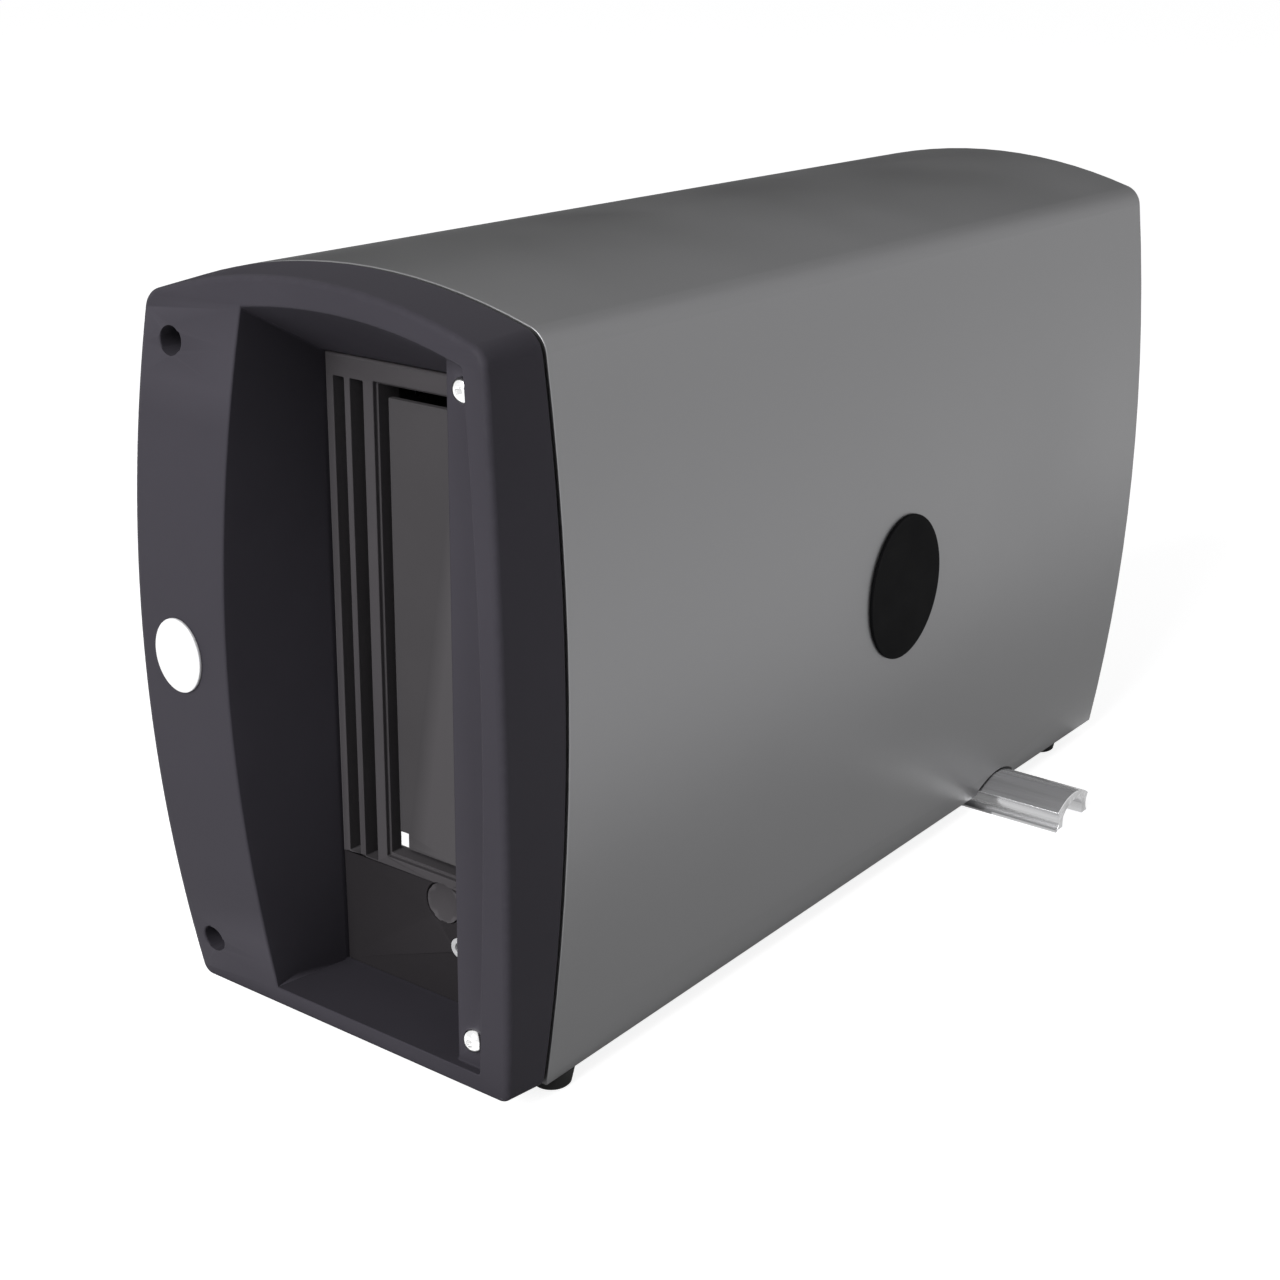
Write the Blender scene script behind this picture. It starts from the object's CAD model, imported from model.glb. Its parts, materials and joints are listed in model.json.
# %% [markdown]
# # Dressing a desktop tape drive
#
# The object is a bow-sided metal case with a deep-recessed black front. A cartridge drive
# stands on its side at the back of the recess, and a polished bar crosses under the rear.
# The solids come ready-made from the CAD model. This lesson gives them their finishes, rounds
# the edges that a camera sees, prints the marks on the power switch, and lights it all for
# one picture.

import json
import math

import bmesh
import bpy
from mathutils import Matrix, Vector
from mathutils.bvhtree import BVHTree
from mathutils.interpolate import poly_3d_calc

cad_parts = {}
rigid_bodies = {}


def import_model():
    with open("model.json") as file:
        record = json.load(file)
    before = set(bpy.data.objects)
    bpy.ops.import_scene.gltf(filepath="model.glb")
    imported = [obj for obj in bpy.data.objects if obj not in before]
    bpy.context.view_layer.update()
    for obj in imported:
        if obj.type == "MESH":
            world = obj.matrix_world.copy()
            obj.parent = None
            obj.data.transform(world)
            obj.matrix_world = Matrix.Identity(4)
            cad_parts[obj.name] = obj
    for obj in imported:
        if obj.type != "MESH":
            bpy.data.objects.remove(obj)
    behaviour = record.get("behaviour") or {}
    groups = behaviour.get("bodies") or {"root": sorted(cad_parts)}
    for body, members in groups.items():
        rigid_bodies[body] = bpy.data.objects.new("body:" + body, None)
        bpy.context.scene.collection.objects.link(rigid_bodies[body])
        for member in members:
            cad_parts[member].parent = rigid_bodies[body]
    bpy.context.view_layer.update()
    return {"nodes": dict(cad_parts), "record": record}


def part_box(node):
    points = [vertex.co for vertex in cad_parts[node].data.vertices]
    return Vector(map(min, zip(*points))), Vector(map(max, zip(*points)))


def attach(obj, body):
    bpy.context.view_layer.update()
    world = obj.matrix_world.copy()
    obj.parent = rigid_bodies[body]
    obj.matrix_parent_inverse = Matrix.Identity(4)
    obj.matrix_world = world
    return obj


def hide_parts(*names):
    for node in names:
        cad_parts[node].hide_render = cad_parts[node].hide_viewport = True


bpy.ops.object.select_all(action="SELECT")
bpy.ops.object.delete()
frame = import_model()

# %% [markdown]
# ## Measures
#
# Sizes on the object are in millimetres, and those of the studio around it are in metres. The
# drawing's axes are x to the right, y back from the seam behind the front bezel, z up from the
# table. The solids stand in metres, with the middle of the object's length over the origin. One
# helper turns a drawing point into that frame, so no other line has to think about it.

# %% The drawing's axes
MM = 0.001
MIDDLE = 127.05
CASE_LOW = 5.0


def at(x, y, z):
    return Vector((x * MM, (y - MIDDLE) * MM, z * MM))


print("front seam at y =", round(at(0, 0, 0).y, 5), "m")

# %% [markdown]
# ## Building blocks for the finishes
#
# A real surface is never one flat colour. An image texture could bring the variation, but it
# would have a fixed sharpness and seams. Noise nodes have neither, so they carry all of it. Six
# small helpers keep the later cells readable: start from an empty tree, add a node, place the
# grain, make a noise, stretch a value from one range to another, and blend two colours.

# %% Small node helpers
def fresh_tree(owner):
    """The emptied node tree of a material or a world."""
    owner.use_nodes = True
    owner.node_tree.nodes.clear()
    return owner.node_tree


def add_node(tree, kind, **settings):
    node = tree.nodes.new(kind)
    for key, value in settings.items():
        setattr(node, key, value)
    return node


def grain_coordinates(tree, stretch):
    """Object coordinates, squeezed along some axes so that the grain runs as brushing."""
    place = add_node(tree, "ShaderNodeTexCoord")
    scale = add_node(tree, "ShaderNodeMapping")
    scale.inputs["Scale"].default_value = stretch
    tree.links.new(place.outputs["Object"], scale.inputs["Vector"])
    return scale.outputs["Vector"]


def noise(tree, vector, scale, detail=3.0):
    cloud = add_node(tree, "ShaderNodeTexNoise")
    cloud.inputs["Scale"].default_value = scale
    cloud.inputs["Detail"].default_value = detail
    tree.links.new(vector, cloud.inputs["Vector"])
    return cloud.outputs["Fac"]


def remap(tree, value, low, high, to_low, to_high):
    bend = add_node(tree, "ShaderNodeMapRange", clamp=True)
    ends = {"From Min": low, "From Max": high, "To Min": to_low, "To Max": to_high}
    for name, number in ends.items():
        bend.inputs[name].default_value = number
    tree.links.new(value, bend.inputs["Value"])
    return bend.outputs["Result"]


def blend_colours(tree, share, first, second):
    mix = add_node(tree, "ShaderNodeMix", data_type="RGBA")
    tree.links.new(share, mix.inputs["Factor"])
    for socket, colour in ((mix.inputs[6], first), (mix.inputs[7], second)):
        if isinstance(colour, tuple):
            socket.default_value = (*colour, 1.0)
        else:
            tree.links.new(colour, socket)
    return mix.outputs[2]


# %% [markdown]
# ## One recipe for all finishes
#
# Each finish is the same recipe with its own numbers. A broad noise moves the colour and the
# gloss a little, as uneven moulding and handling do. A fine noise is the grain, felt only
# as bump. Corners that hands and cloths rub are paler. The corner test is the Pointiness output,
# which reads how sharply the mesh turns, so rounded edges catch it and flat faces don't.

# %% Make a finish from its numbers
NOISE_LOW, NOISE_HIGH = 0.3, 0.7
CORNER_STARTS, CORNER_FULL = 0.51, 0.58
DULLEST, GLOSSIEST = 1.1, 0.9
RUB_LIFT = 0.004
FINISHES = {}


def finish(name, colour, rough, metal=0.0, shine=0.5, spread=0.12, cloud=40.0, grain=900.0,
           bump=0.02, stretch=(1, 1, 1), wear=1.35):
    """Make one finish: base colour, roughness, and how far both wander."""
    material = bpy.data.materials.new(name)
    tree = fresh_tree(material)
    shader = add_node(tree, "ShaderNodeBsdfPrincipled")
    out = add_node(tree, "ShaderNodeOutputMaterial")
    tree.links.new(shader.outputs["BSDF"], out.inputs["Surface"])
    shader.inputs["Metallic"].default_value = metal
    shader.inputs["Specular IOR Level"].default_value = shine

    where = grain_coordinates(tree, stretch)
    broad = noise(tree, where, cloud)
    darker = tuple(c * (1 - spread) for c in colour)
    lighter = tuple(min(c * (1 + spread), 1.0) for c in colour)
    rubbed = tuple(min(c * wear + RUB_LIFT, 1.0) for c in colour)
    body = blend_colours(tree, remap(tree, broad, NOISE_LOW, NOISE_HIGH, 0, 1), darker, lighter)
    corner = add_node(tree, "ShaderNodeNewGeometry").outputs["Pointiness"]
    rub = remap(tree, corner, CORNER_STARTS, CORNER_FULL, 0, 1)
    tree.links.new(blend_colours(tree, rub, body, rubbed), shader.inputs["Base Color"])

    gloss_ends = rough * GLOSSIEST, min(rough * DULLEST, 1)
    gloss = remap(tree, broad, NOISE_LOW, NOISE_HIGH, *gloss_ends)
    tree.links.new(gloss, shader.inputs["Roughness"])
    relief = add_node(tree, "ShaderNodeBump")
    relief.inputs["Strength"].default_value = 0.5
    relief.inputs["Distance"].default_value = bump * MM
    tree.links.new(noise(tree, where, grain, detail=2.0), relief.inputs["Height"])
    tree.links.new(relief.outputs["Normal"], shader.inputs["Normal"])
    FINISHES[name] = material


# %% [markdown]
# ## Metals
#
# The cover is satin metal, so it mirrors the room softly: middling roughness, almost no
# colour variation, very fine grain. The bar under the case is polished along its length, which
# the recipe shows by squeezing the noise along x until it becomes streaks. Pressed steel
# inside has the same streaks along z, and castings have a deeper grain instead.

# %% Metal finishes
finish("sleeve_metal", (0.18, 0.18, 0.184), 0.4, metal=0.85, spread=0.05, cloud=14,
       grain=2200, bump=0.012)
finish("plain_steel", (0.5, 0.51, 0.52), 0.36, metal=1.0, cloud=60, grain=900,
       stretch=(1, 1, 0.02))
finish("polished_bar", (0.72, 0.72, 0.73), 0.26, metal=1.0, spread=0.3, cloud=420, grain=1500,
       stretch=(0.02, 1, 1), bump=0.01)
finish("zinc_screw", (0.55, 0.55, 0.54), 0.3, metal=1.0, cloud=300)
finish("dark_screw", (0.02, 0.02, 0.022), 0.4, metal=0.6, cloud=300)
finish("bright_screw", (0.85, 0.85, 0.85), 0.16, metal=1.0, spread=0.06, cloud=300)
finish("aluminium_block", (0.5, 0.5, 0.51), 0.34, metal=1.0, cloud=80)
finish("brass_pin", (0.72, 0.55, 0.28), 0.28, metal=1.0, cloud=200)
finish("cast_metal", (0.42, 0.42, 0.43), 0.42, metal=1.0, cloud=70, grain=1400, bump=0.05)
finish("port_steel", (0.5, 0.5, 0.5), 0.3, metal=1.0, cloud=200)
print("metal finishes", len(FINISHES))

# %% [markdown]
# ## The black fronts
#
# The bezel and the drive's own front are dark, fine-grained plastic. Their gloss is kept very
# low, because glossy black plastic in a white studio shows the studio and not its own
# colour. The drive's front is a warmer and slightly paler black than the bezel around it.

# %% Finishes of the front
FINE = {"spread": 0.06, "grain": 2600, "bump": 0.03}
finish("bezel_plastic", (0.044, 0.041, 0.050), 0.5, shine=0.05, cloud=25, **FINE)
finish("drive_plastic", (0.060, 0.056, 0.060), 0.55, shine=0.06, cloud=40, **FINE)
finish("drive_plastic_dark", (0.022, 0.020, 0.022), 0.55, shine=0.05, cloud=40, **FINE)
finish("door_plastic", (0.056, 0.053, 0.056), 0.5, shine=0.06, cloud=40, **FINE)
finish("badge_white", (0.76, 0.76, 0.77), 0.3, spread=0.03, cloud=120)
finish("badge_black", (0.003, 0.003, 0.0035), 0.55, shine=0.02, cloud=80)
finish("marker_white", (0.8, 0.8, 0.8), 0.35, spread=0.04, cloud=400)
finish("light_pipe", (0.45, 0.45, 0.46), 0.25, spread=0.05, cloud=400)
print("with the front's", len(FINISHES))

# %% [markdown]
# ## Everything at the back and inside
#
# The rear panel and the drive's chassis are coated, which leaves a slightly pebbled black. Feet
# are matt rubber. Boards, cans, the wrapped transformer and sockets hardly show behind the door
# and the grille, but they get the same care, because the solids are looked at singly too.

# %% Finishes of the back and the inside
finish("foot_rubber", (0.018, 0.018, 0.018), 0.8, shine=0.3, grain=1800, bump=0.04)
finish("panel_black", (0.024, 0.024, 0.026), 0.55, shine=0.3, grain=3200, bump=0.06)
finish("chassis_black", (0.016, 0.016, 0.017), 0.6, shine=0.2, cloud=70, grain=1400, bump=0.05)
finish("fan_plastic", (0.014, 0.014, 0.015), 0.45, shine=0.3)
finish("fitting_plastic", (0.012, 0.012, 0.013), 0.32, shine=0.35)
finish("board_green", (0.012, 0.075, 0.03), 0.35, spread=0.25, cloud=160)
finish("reel_plastic", (0.09, 0.09, 0.1), 0.4)
finish("transformer_wrap", (0.45, 0.33, 0.05), 0.45, cloud=90)
finish("can_black", (0.018, 0.018, 0.022), 0.3, cloud=120)
finish("socket_white", (0.62, 0.6, 0.54), 0.5, cloud=90)
finish("lead_black", (0.015, 0.015, 0.015), 0.5, shine=0.3, cloud=120)
print("all finishes", len(FINISHES))

# %% [markdown]
# ## Give each solid its finish
#
# The record says which finish each solid has. Reading it from there keeps the picture and the
# record in step, where a list typed again here could drift away from it.

# %% Assign by the record's slots
SLOTS = {row["node"]: row["material_slot"] for row in frame["record"]["subparts"]}
for node, solid in frame["nodes"].items():
    solid.data.materials.clear()
    solid.data.materials.append(FINISHES[SLOTS[node]])
print("solids with a finish", len(frame["nodes"]))

# %% [markdown]
# ## Rounded edges
#
# Nothing on a real case ends in a knife edge. Moulded plastic leaves its tool with a radius of
# about half a millimetre, and sheet metal is deburred to a quarter. The CAD solids are exact, so
# the pieces that the camera sees get that radius here. A Bevel modifier could do it at once on a
# clean mesh, but a CAD mesh is full of thin triangles. So on the plain pieces a copy's flat
# triangles are first merged into whole facets. A mesh face can't have a hole in it, so the
# pierced pieces keep their triangles.

# %% Copy a solid, ready for its edges to be rounded
WELD = 0.002
FLAT_FACET = math.radians(0.2)
SHARP_CORNER = math.radians(35)


def linked(name, data):
    """A new object in the scene, around a mesh, a lamp or a camera."""
    piece = bpy.data.objects.new(name, data)
    bpy.context.scene.collection.objects.link(piece)
    return piece


def copied(node, merge, spared, reach):
    """A solid's mesh as a new object, with its sharp edges marked for rounding."""
    source = frame["nodes"][node]
    mesh = source.data.copy()
    form = bmesh.new()
    form.from_mesh(mesh)
    bmesh.ops.remove_doubles(form, verts=form.verts, dist=WELD * MM)
    if merge:
        bmesh.ops.dissolve_limit(form, angle_limit=FLAT_FACET, verts=form.verts, edges=form.edges)
    rounding = form.edges.layers.float.new("bevel_weight_edge")
    for edge in form.edges:
        sharp = edge.calc_face_angle(0) > SHARP_CORNER
        middle = (edge.verts[0].co + edge.verts[1].co) / 2
        if sharp and all((middle - spot).length > reach for spot in spared):
            edge[rounding] = 1.0
    form.to_mesh(mesh)
    form.free()
    mesh.shade_smooth()
    mesh.set_sharp_from_angle(angle=SHARP_CORNER)
    mesh.materials.append(mesh.materials[0])
    piece = linked(node + "_edged", mesh)
    piece.matrix_world = source.matrix_world.copy()
    return piece


# %% [markdown]
# ## Folds
#
# Even so a radius can be wider than the sliver that it starts from, and folds it over. The fold
# gives itself away: its normal points into the solid, against the nearest face of the drawing.
# A smaller radius everywhere would avoid folds, but then no edge would look round. So the folds
# are found face by face, and only the edges beside them are left square.

# %% Find the faces that point into the solid
SMALLEST_FACE = 0.002
INWARD = -0.2


def drawn_surface(node):
    """The drawing's mesh, and a tree that finds its nearest face."""
    mesh = frame["nodes"][node].data
    spots = [vertex.co for vertex in mesh.vertices]
    return mesh, BVHTree.FromPolygons(spots, [list(face.vertices) for face in mesh.polygons])


def folds(piece, nearest):
    """Middles of the faces that point into the solid, slivers apart."""
    found = []
    for face in piece.data.polygons:
        if face.area > SMALLEST_FACE * MM * MM:
            normal = nearest.find_nearest(face.center)[1]
            if normal and face.normal.dot(normal) < INWARD:
                found.append(face.center.copy())
    return found


# %% [markdown]
# ## The drawing's own shading
#
# Rounding disturbs the shading of the faces next to it. On a bowed front that shows as streaks
# around every screw hole. Weighted normals would help, but they guess. The drawing knows the
# true normal at every point of its flats and bows, so those faces take theirs from it, and only
# the rounded strips blend from one to the next. The bevel gives its strips a second material
# slot, which is how the two kinds are told apart here.

# %% Take normals from the drawing
INSET = 0.02
SAME_FACE = 0.6
SAME_SIDE = 0.5


def drawn_normal(mesh, index, spot):
    face = mesh.polygons[index]
    shares = poly_3d_calc([mesh.vertices[v].co for v in face.vertices], spot)
    total = Vector()
    for share, corner in zip(shares, face.loop_indices):
        total += mesh.corner_normals[corner].vector * share
    return total.normalized()


def true_normals(piece, drawing, nearest):
    mesh = piece.data
    normals = [corner.vector.copy() for corner in mesh.corner_normals]
    plain = [face for face in mesh.polygons if not face.material_index]
    strips = [face for face in mesh.polygons if face.material_index]
    shared = {}
    for face in plain:
        for corner in face.loop_indices:
            vertex = mesh.loops[corner].vertex_index
            inside = mesh.vertices[vertex].co.lerp(face.center, INSET)
            spot, _, index, _ = nearest.find_nearest(inside)
            normal = drawn_normal(drawing, index, spot)
            if normal.dot(face.normal) > SAME_FACE:
                normals[corner] = normal
                shared.setdefault(vertex, []).append(normal)
    for face in strips:
        for corner in face.loop_indices:
            known = shared.get(mesh.loops[corner].vertex_index, [])
            total = sum(known, Vector())
            if total.dot(face.normal) > SAME_SIDE:
                normals[corner] = total.normalized()
        face.material_index = 0
    mesh.materials.pop()
    mesh.normals_split_custom_set(normals)


# %% [markdown]
# ## Round a piece
#
# Now the parts come together: copy, bevel, look for folds, and try again with their edges
# spared. The new piece then stands for its solid and moves with the same body.

# %% Bevel, check and replace
TRIES = 3
SPARED_WIDTHS = 4
BODIES = frame["record"]["behaviour"]["bodies"]
BODY_OF = {node: body for body, nodes in BODIES.items() for node in nodes}


def settle(piece):
    """Apply a piece's modifiers, so that its mesh is its real shape."""
    shape = piece.evaluated_get(bpy.context.evaluated_depsgraph_get())
    mesh = bpy.data.meshes.new_from_object(shape)
    piece.modifiers.clear()
    piece.data = mesh


def bevelled(piece, width):
    edge = piece.modifiers.new("edge", "BEVEL")
    edge.width = width * MM
    edge.segments = 2
    edge.limit_method = "WEIGHT"
    edge.use_clamp_overlap = False
    edge.miter_outer = "MITER_ARC"
    edge.material = 1
    settle(piece)


def softened(node, width, merge):
    drawing, nearest = drawn_surface(node)
    spared = []
    for attempt in range(TRIES):
        piece = copied(node, merge, spared, SPARED_WIDTHS * width * MM)
        bevelled(piece, width)
        folded = folds(piece, nearest)
        if not folded or attempt == TRIES - 1:
            break
        spared += folded
        bpy.data.objects.remove(piece)
    true_normals(piece, drawing, nearest)
    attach(piece, BODY_OF[node])
    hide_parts(node)
    print(node, "rounded by", width, "mm,", len(piece.data.polygons), "faces,",
          len(spared), "spots spared,", len(folded), "folds left")
    return piece


# %% [markdown]
# ## Which pieces, and how round
#
# Radii follow how each piece is made: half a millimetre on the big moulding, less on small
# mouldings and folded metal, least on the extruded bar, whose corners are only brushed, and on
# the tiny status light. The first list holds the plain pieces whose flat triangles are merged,
# and the second those that keep them, because they are pierced or turn out cleaner that way.

# %% Radii in millimetres
WHOLE_FACETS = {
    "outer_sleeve": 0.3, "indicator_light": 0.15, "rubber_feet": 0.3, "front_badge": 0.25,
    "side_badge": 0.25,
}
AS_DRAWN = {
    "front_bezel": 0.5, "drive_bezel": 0.25, "cartridge_door": 0.25, "stabiliser_bar": 0.15,
    "power_inlet": 0.25, "switch_frame": 0.3, "eject_button": 0.3, "power_rocker": 0.3,
}
EDGED = {}
for node, radius in {**WHOLE_FACETS, **AS_DRAWN}.items():
    EDGED[node] = softened(node, radius, node in WHOLE_FACETS)

# %% [markdown]
# ## The drive's darker lower panel
#
# Below the door, the drive's front steps back by half a millimetre, and that panel is darker than
# the rest. It could be cut off as a piece of its own, but the real front is one moulding. So it
# stays one mesh, and the panel's faces just point at a second finish.

# %% Second finish on the lower panel
LOWER_PANEL_TOP = 39.0
JUST_OVER = 0.2
FACES_FRONT = -0.2
front = EDGED["drive_bezel"].data
front.materials.append(FINISHES["drive_plastic_dark"])
for face in front.polygons:
    low_down = face.center.z < (LOWER_PANEL_TOP + JUST_OVER) * MM
    if low_down and face.normal.y < FACES_FRONT:
        face.material_index = 1
print("darker faces", sum(face.material_index for face in front.polygons))

# %% [markdown]
# ## Marks on the power switch
#
# A rocker switch carries a stroke on its on side and a ring on its off side, printed in white.
# A text object could write them, but it would lie flat, and the rocker's face is a shallow V.
# So each mark is drawn as a strip of small faces, and every point is dropped onto the rocker by
# a ray from behind. The mark then follows the face, however it is tipped, and rides with it. A
# Solidify modifier gives the ink a thickness that reaches a little into the plastic.

# %% Lay a printed strip on the rocker
INK = 0.04
INK_DEPTH = 1.5 * INK
RAY_START = 10.0
_, rocker_surface = drawn_surface("power_rocker")
rocker_low, rocker_high = (Vector(corner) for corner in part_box("power_rocker"))
rocker_middle = (rocker_low + rocker_high) / 2


def on_rocker(x, z):
    """The point over the rocker's face at an offset in millimetres from its middle."""
    start = Vector((rocker_middle.x + x * MM, rocker_high.y + RAY_START * MM,
                    rocker_middle.z + z * MM))
    spot, normal, _, _ = rocker_surface.ray_cast(start, Vector((0, -1, 0)))
    return spot + normal * INK * MM


def printed(name, rows, closed):
    """A mark from rows of (x, z) offsets, with each row closed to a loop or left open."""
    form = bmesh.new()
    laid = [[form.verts.new(on_rocker(x, z)) for x, z in row] for row in rows]
    count = len(laid[0])
    for near, far in zip(laid, laid[1:]):
        for i in range(count if closed else count - 1):
            j = (i + 1) % count
            form.faces.new((near[i], near[j], far[j], far[i]))
    bmesh.ops.recalc_face_normals(form, faces=form.faces)
    if sum(face.normal.y for face in form.faces) < 0:
        bmesh.ops.reverse_faces(form, faces=form.faces)
    mesh = bpy.data.meshes.new(name)
    form.to_mesh(mesh)
    form.free()
    mesh.materials.append(FINISHES["marker_white"])
    mark = linked(name, mesh)
    body = mark.modifiers.new("ink", "SOLIDIFY")
    body.thickness = INK_DEPTH * MM
    settle(mark)
    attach(mark, "rocker")
    print(name, len(mark.data.polygons), "faces")


# %% Ring above the middle, stroke below
OFF_MIDDLE = (rocker_high.z - rocker_low.z) / 4 / MM
RING_RADII = (1.0, 1.2, 1.4)
RING_STEPS = 32
STROKE_SIDES = (-0.22, 0.0, 0.22)
STROKE_REACH = 1.4
STROKE_STEP = 0.35
STROKE_POINTS = 9

turns = [math.tau * i / RING_STEPS for i in range(RING_STEPS)]
ring = [[(r * math.sin(a), OFF_MIDDLE + r * math.cos(a)) for a in turns] for r in RING_RADII]
heights = [-OFF_MIDDLE + STROKE_REACH - STROKE_STEP * i for i in range(STROKE_POINTS)]
stroke = [[(x, z) for z in heights] for x in STROKE_SIDES]
printed("rocker_off_ring", ring, True)
printed("rocker_on_stroke", stroke, False)
print("marks at", round(OFF_MIDDLE, 2), "mm above and below the rocker's middle")

# %% [markdown]
# ## Floor
#
# The picture is a product shot on white. A real studio would use a white sweep and enough light
# to burn it out, which would also wash out the object. Here a wide pale floor keeps the object's
# soft shadow, and it is lifted to white only for the rays that the camera and the mirror-like
# metals see. Plain light doesn't see that glow, so the object keeps its own colours.

# %% Pale floor that keeps the shadow
WHITE = (1, 1, 1, 1)
FLOOR_TONE = (0.56, 0.56, 0.565, 1)
FLOOR_LIFT = 0.85
FLOOR_RADIUS = 8.0


def seen_directly(tree):
    """1 for the rays that camera, gloss and glass send, 0 for plain light."""
    path = add_node(tree, "ShaderNodeLightPath")
    total = path.outputs["Is Camera Ray"]
    for name in ("Is Glossy Ray", "Is Transmission Ray"):
        join = add_node(tree, "ShaderNodeMath", operation="MAXIMUM")
        tree.links.new(total, join.inputs[0])
        tree.links.new(path.outputs[name], join.inputs[1])
        total = join.outputs[0]
    return total


def floor_material():
    material = bpy.data.materials.new("floor_white")
    tree = fresh_tree(material)
    matt = add_node(tree, "ShaderNodeBsdfDiffuse")
    matt.inputs["Color"].default_value = FLOOR_TONE
    glow = add_node(tree, "ShaderNodeEmission")
    glow.inputs["Color"].default_value = WHITE
    strength = remap(tree, seen_directly(tree), 0, 1, 0, FLOOR_LIFT)
    tree.links.new(strength, glow.inputs["Strength"])
    total = add_node(tree, "ShaderNodeAddShader")
    tree.links.new(matt.outputs[0], total.inputs[0])
    tree.links.new(glow.outputs[0], total.inputs[1])
    out = add_node(tree, "ShaderNodeOutputMaterial")
    tree.links.new(total.outputs[0], out.inputs["Surface"])
    return material


bpy.ops.mesh.primitive_circle_add(vertices=96, radius=FLOOR_RADIUS, fill_type="NGON")
floor = bpy.context.object
floor.name = "floor"
floor.data.materials.append(floor_material())
print("floor radius", FLOOR_RADIUS, "m, lifted by", FLOOR_LIFT)

# %% [markdown]
# ## World and lamp
#
# The world is white where it is seen, for the same reason as the floor, and a quarter of that as
# fill light. One large softbox in front and above does the rest. Its size against its distance
# sets how soft the shadows are, and one lamp keeps them all on one side.

# %% White world with a soft fill
WORLD_FILL = 0.25
world = bpy.data.worlds.new("studio")
bpy.context.scene.world = world
sky = fresh_tree(world)
fill = add_node(sky, "ShaderNodeBackground")
fill.inputs["Color"].default_value = WHITE
sky.links.new(remap(sky, seen_directly(sky), 0, 1, WORLD_FILL, 1.0), fill.inputs["Strength"])
sky_out = add_node(sky, "ShaderNodeOutputWorld")
sky.links.new(fill.outputs[0], sky_out.inputs["Surface"])
print("fill light", WORLD_FILL)


# %% One softbox
def softbox(name, place, aim, width, watts):
    """Square area lamp that looks at a point."""
    light = bpy.data.lights.new(name, "AREA")
    light.size = width
    light.energy = watts
    lamp = linked(name, light)
    lamp.location = place
    lamp.rotation_mode = "QUATERNION"
    lamp.rotation_quaternion = (Vector(aim) - Vector(place)).to_track_quat("-Z", "Y")
    print(name, width, "m wide,", watts, "W")


softbox("front_box", place=(0.05, -1.6, 0.95), aim=(0, 0, 0.09), width=0.9, watts=30)

# %% [markdown]
# ## Grey cards for the metal to mirror
#
# Seen this low, the cover's arched top is a mirror for whatever stands behind it, and in a white
# room it would turn white. A photographer hangs a grey card there, darker below, so that the top
# darkens towards its back. A second card lies on the table beside the case and makes the side
# fall off towards its foot. A third lies under the case, for the bar's flank to mirror. All are
# seen only by mirror-like rays: they cast no shadow, give no light and stay out of the picture.

# %% A card that only gloss sees
PALER_FROM, PALER_TO = 0.2, 0.5
UPWARD = (0, 0, 1)


def card_material(name, glow, upper_glow):
    look = bpy.data.materials.new(name)
    tree = fresh_tree(look)
    light = add_node(tree, "ShaderNodeEmission")
    light.inputs["Strength"].default_value = glow
    if upper_glow:
        height = add_node(tree, "ShaderNodeSeparateXYZ")
        place_on_card = add_node(tree, "ShaderNodeTexCoord").outputs["Generated"]
        tree.links.new(place_on_card, height.inputs["Vector"])
        graded = remap(tree, height.outputs["Y"], PALER_FROM, PALER_TO, glow, upper_glow)
        tree.links.new(graded, light.inputs["Strength"])
    out = add_node(tree, "ShaderNodeOutputMaterial")
    tree.links.new(light.outputs[0], out.inputs["Surface"])
    return look


def grey_card(name, size, place, facing, glow, upper_glow=None):
    """Card of one grey, or one that gets paler from a fifth to a half of its height."""
    bpy.ops.mesh.primitive_grid_add(x_subdivisions=1, y_subdivisions=1, size=1)
    card = bpy.context.object
    card.name = name
    card.scale = (*size, 1)
    card.location = place
    card.rotation_mode = "QUATERNION"
    card.rotation_quaternion = Vector(facing).to_track_quat("Z", "Y")
    card.visible_camera = False
    card.visible_diffuse = False
    card.visible_transmission = False
    card.visible_shadow = False
    card.data.materials.append(card_material(name, glow, upper_glow))
    print(name, "glow", glow, "to", upper_glow or glow)


# %% Cards behind, beside and under the case
grey_card("card_behind", size=(2.6, 1.7), place=(-0.62, 0.95, 0.95), facing=(0.55, -0.8, 0),
          glow=0.0, upper_glow=0.58)
grey_card("card_beside", size=(0.09, 0.62), place=(0.098, 0.15, 0.0006), facing=UPWARD, glow=0.6)
grey_card("card_under", size=(0.105, 0.29), place=(0.0, 0.0, 0.0004), facing=UPWARD, glow=0.2)

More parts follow.
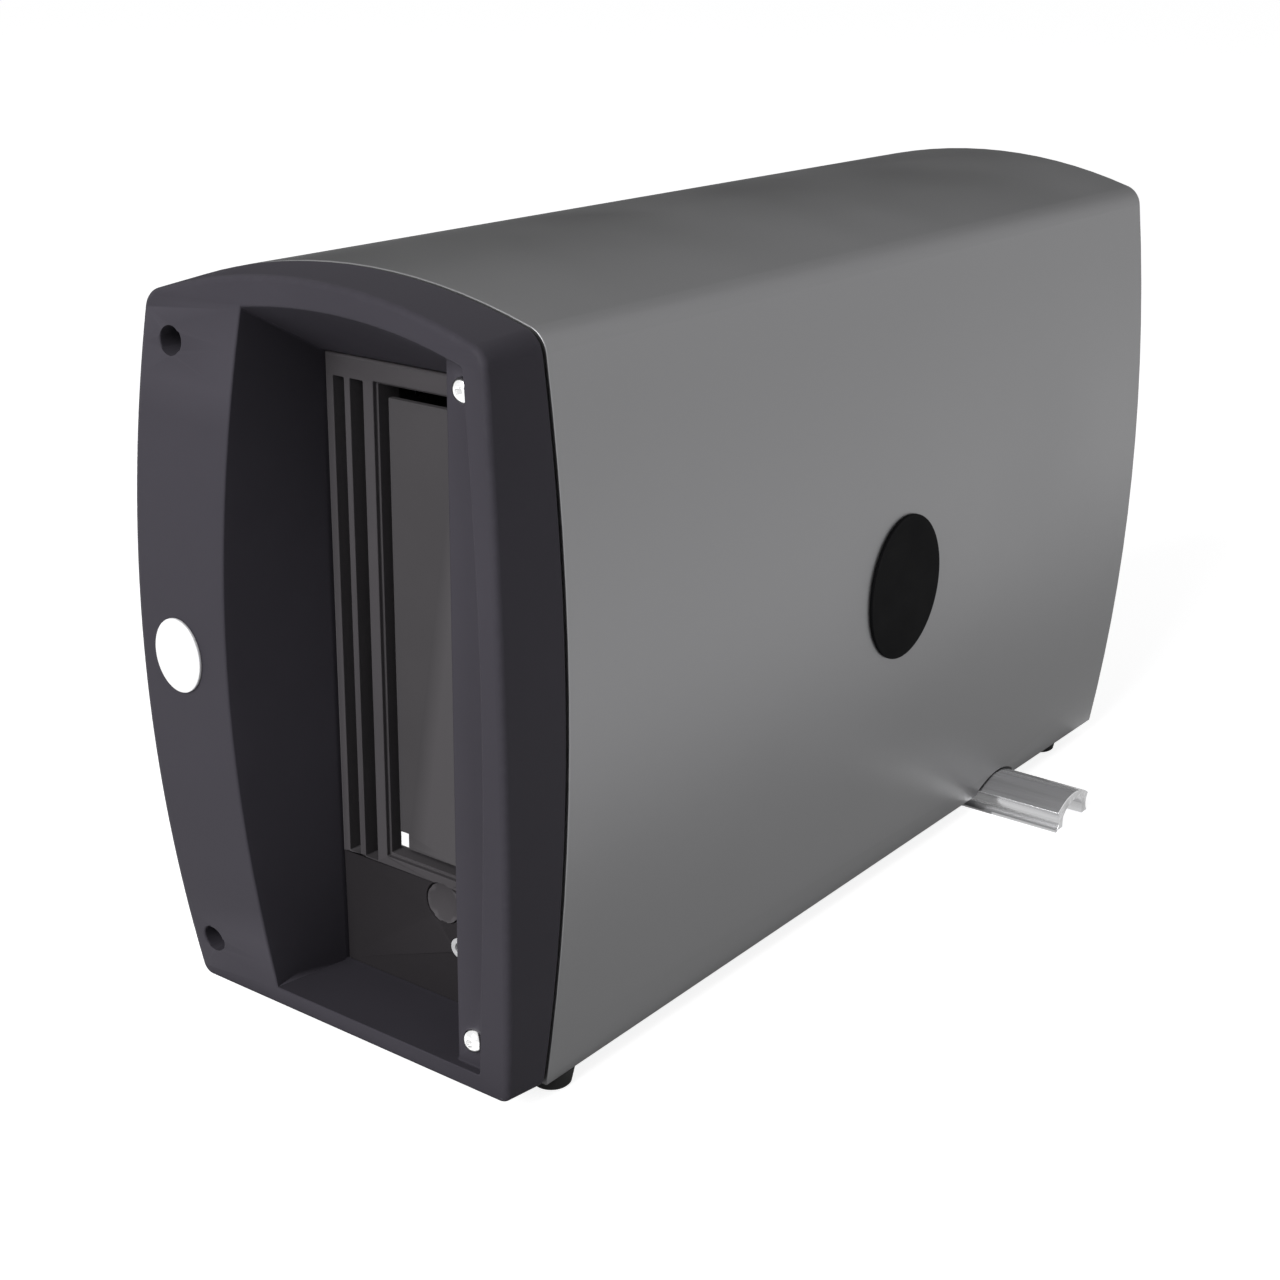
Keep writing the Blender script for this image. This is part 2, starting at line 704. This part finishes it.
# %% [markdown]
# ## Camera
#
# The camera stands where the photographer's stood: right of the front, a little above, close
# enough that the back looks clearly smaller. Guessing it by eye would take many renders. Its
# tilt and place came from lining up the case's eight corners and four seams with the picture,
# in units of that fit, which one scale turns into millimetres.

# %% Where the camera stands and how it is turned
FIT_UNIT = 0.97
AZIMUTH, ELEVATION, ROLL = (math.radians(angle) for angle in (36.257, 20.0, 0.945))
LOOKS_NEAR = Vector((0, 130, 86))
SLIDE_RIGHT = -14.361
SLIDE_UP = -25.878
DISTANCE = 567.14

level = math.cos(ELEVATION)
back = Vector((math.sin(AZIMUTH) * level, -math.cos(AZIMUTH) * level, math.sin(ELEVATION)))
right = Vector((math.cos(AZIMUTH), math.sin(AZIMUTH), 0))
up = back.cross(right)
camera_right = right * math.cos(ROLL) + up * math.sin(ROLL)
camera_up = up * math.cos(ROLL) - right * math.sin(ROLL)
turn = Matrix((camera_right, camera_up, back)).transposed().to_4x4()
stand = LOOKS_NEAR + right * SLIDE_RIGHT + up * SLIDE_UP + back * DISTANCE
place = at(stand.x * FIT_UNIT, stand.y * FIT_UNIT, stand.z * FIT_UNIT + CASE_LOW)
print("camera stands at", [round(v, 3) for v in place])

# %% [markdown]
# ## Lens
#
# The fit also gave the focal length in pixels of the square picture, and the pixel that the lens
# points at. Divided by the picture's width they become a lens in millimetres and a small shift.

# %% Camera at the photograph's place
FOCAL = 2071.55
PICTURE = 1280
AIM_ACROSS = 651.61
AIM_DOWN = 643.04

lens = bpy.data.cameras.new("camera")
lens.sensor_width = 36.0
lens.lens = FOCAL / PICTURE * lens.sensor_width
lens.shift_x = -(AIM_ACROSS - PICTURE / 2) / PICTURE
lens.shift_y = (AIM_DOWN - PICTURE / 2) / PICTURE
lens.clip_start = 0.01
camera = linked("camera", lens)
camera.matrix_world = Matrix.Translation(place) @ turn
bpy.context.scene.camera = camera
bpy.context.scene.view_settings.view_transform = "Standard"
print("lens", round(lens.lens, 2), "mm, shift", round(lens.shift_x, 4), round(lens.shift_y, 4))
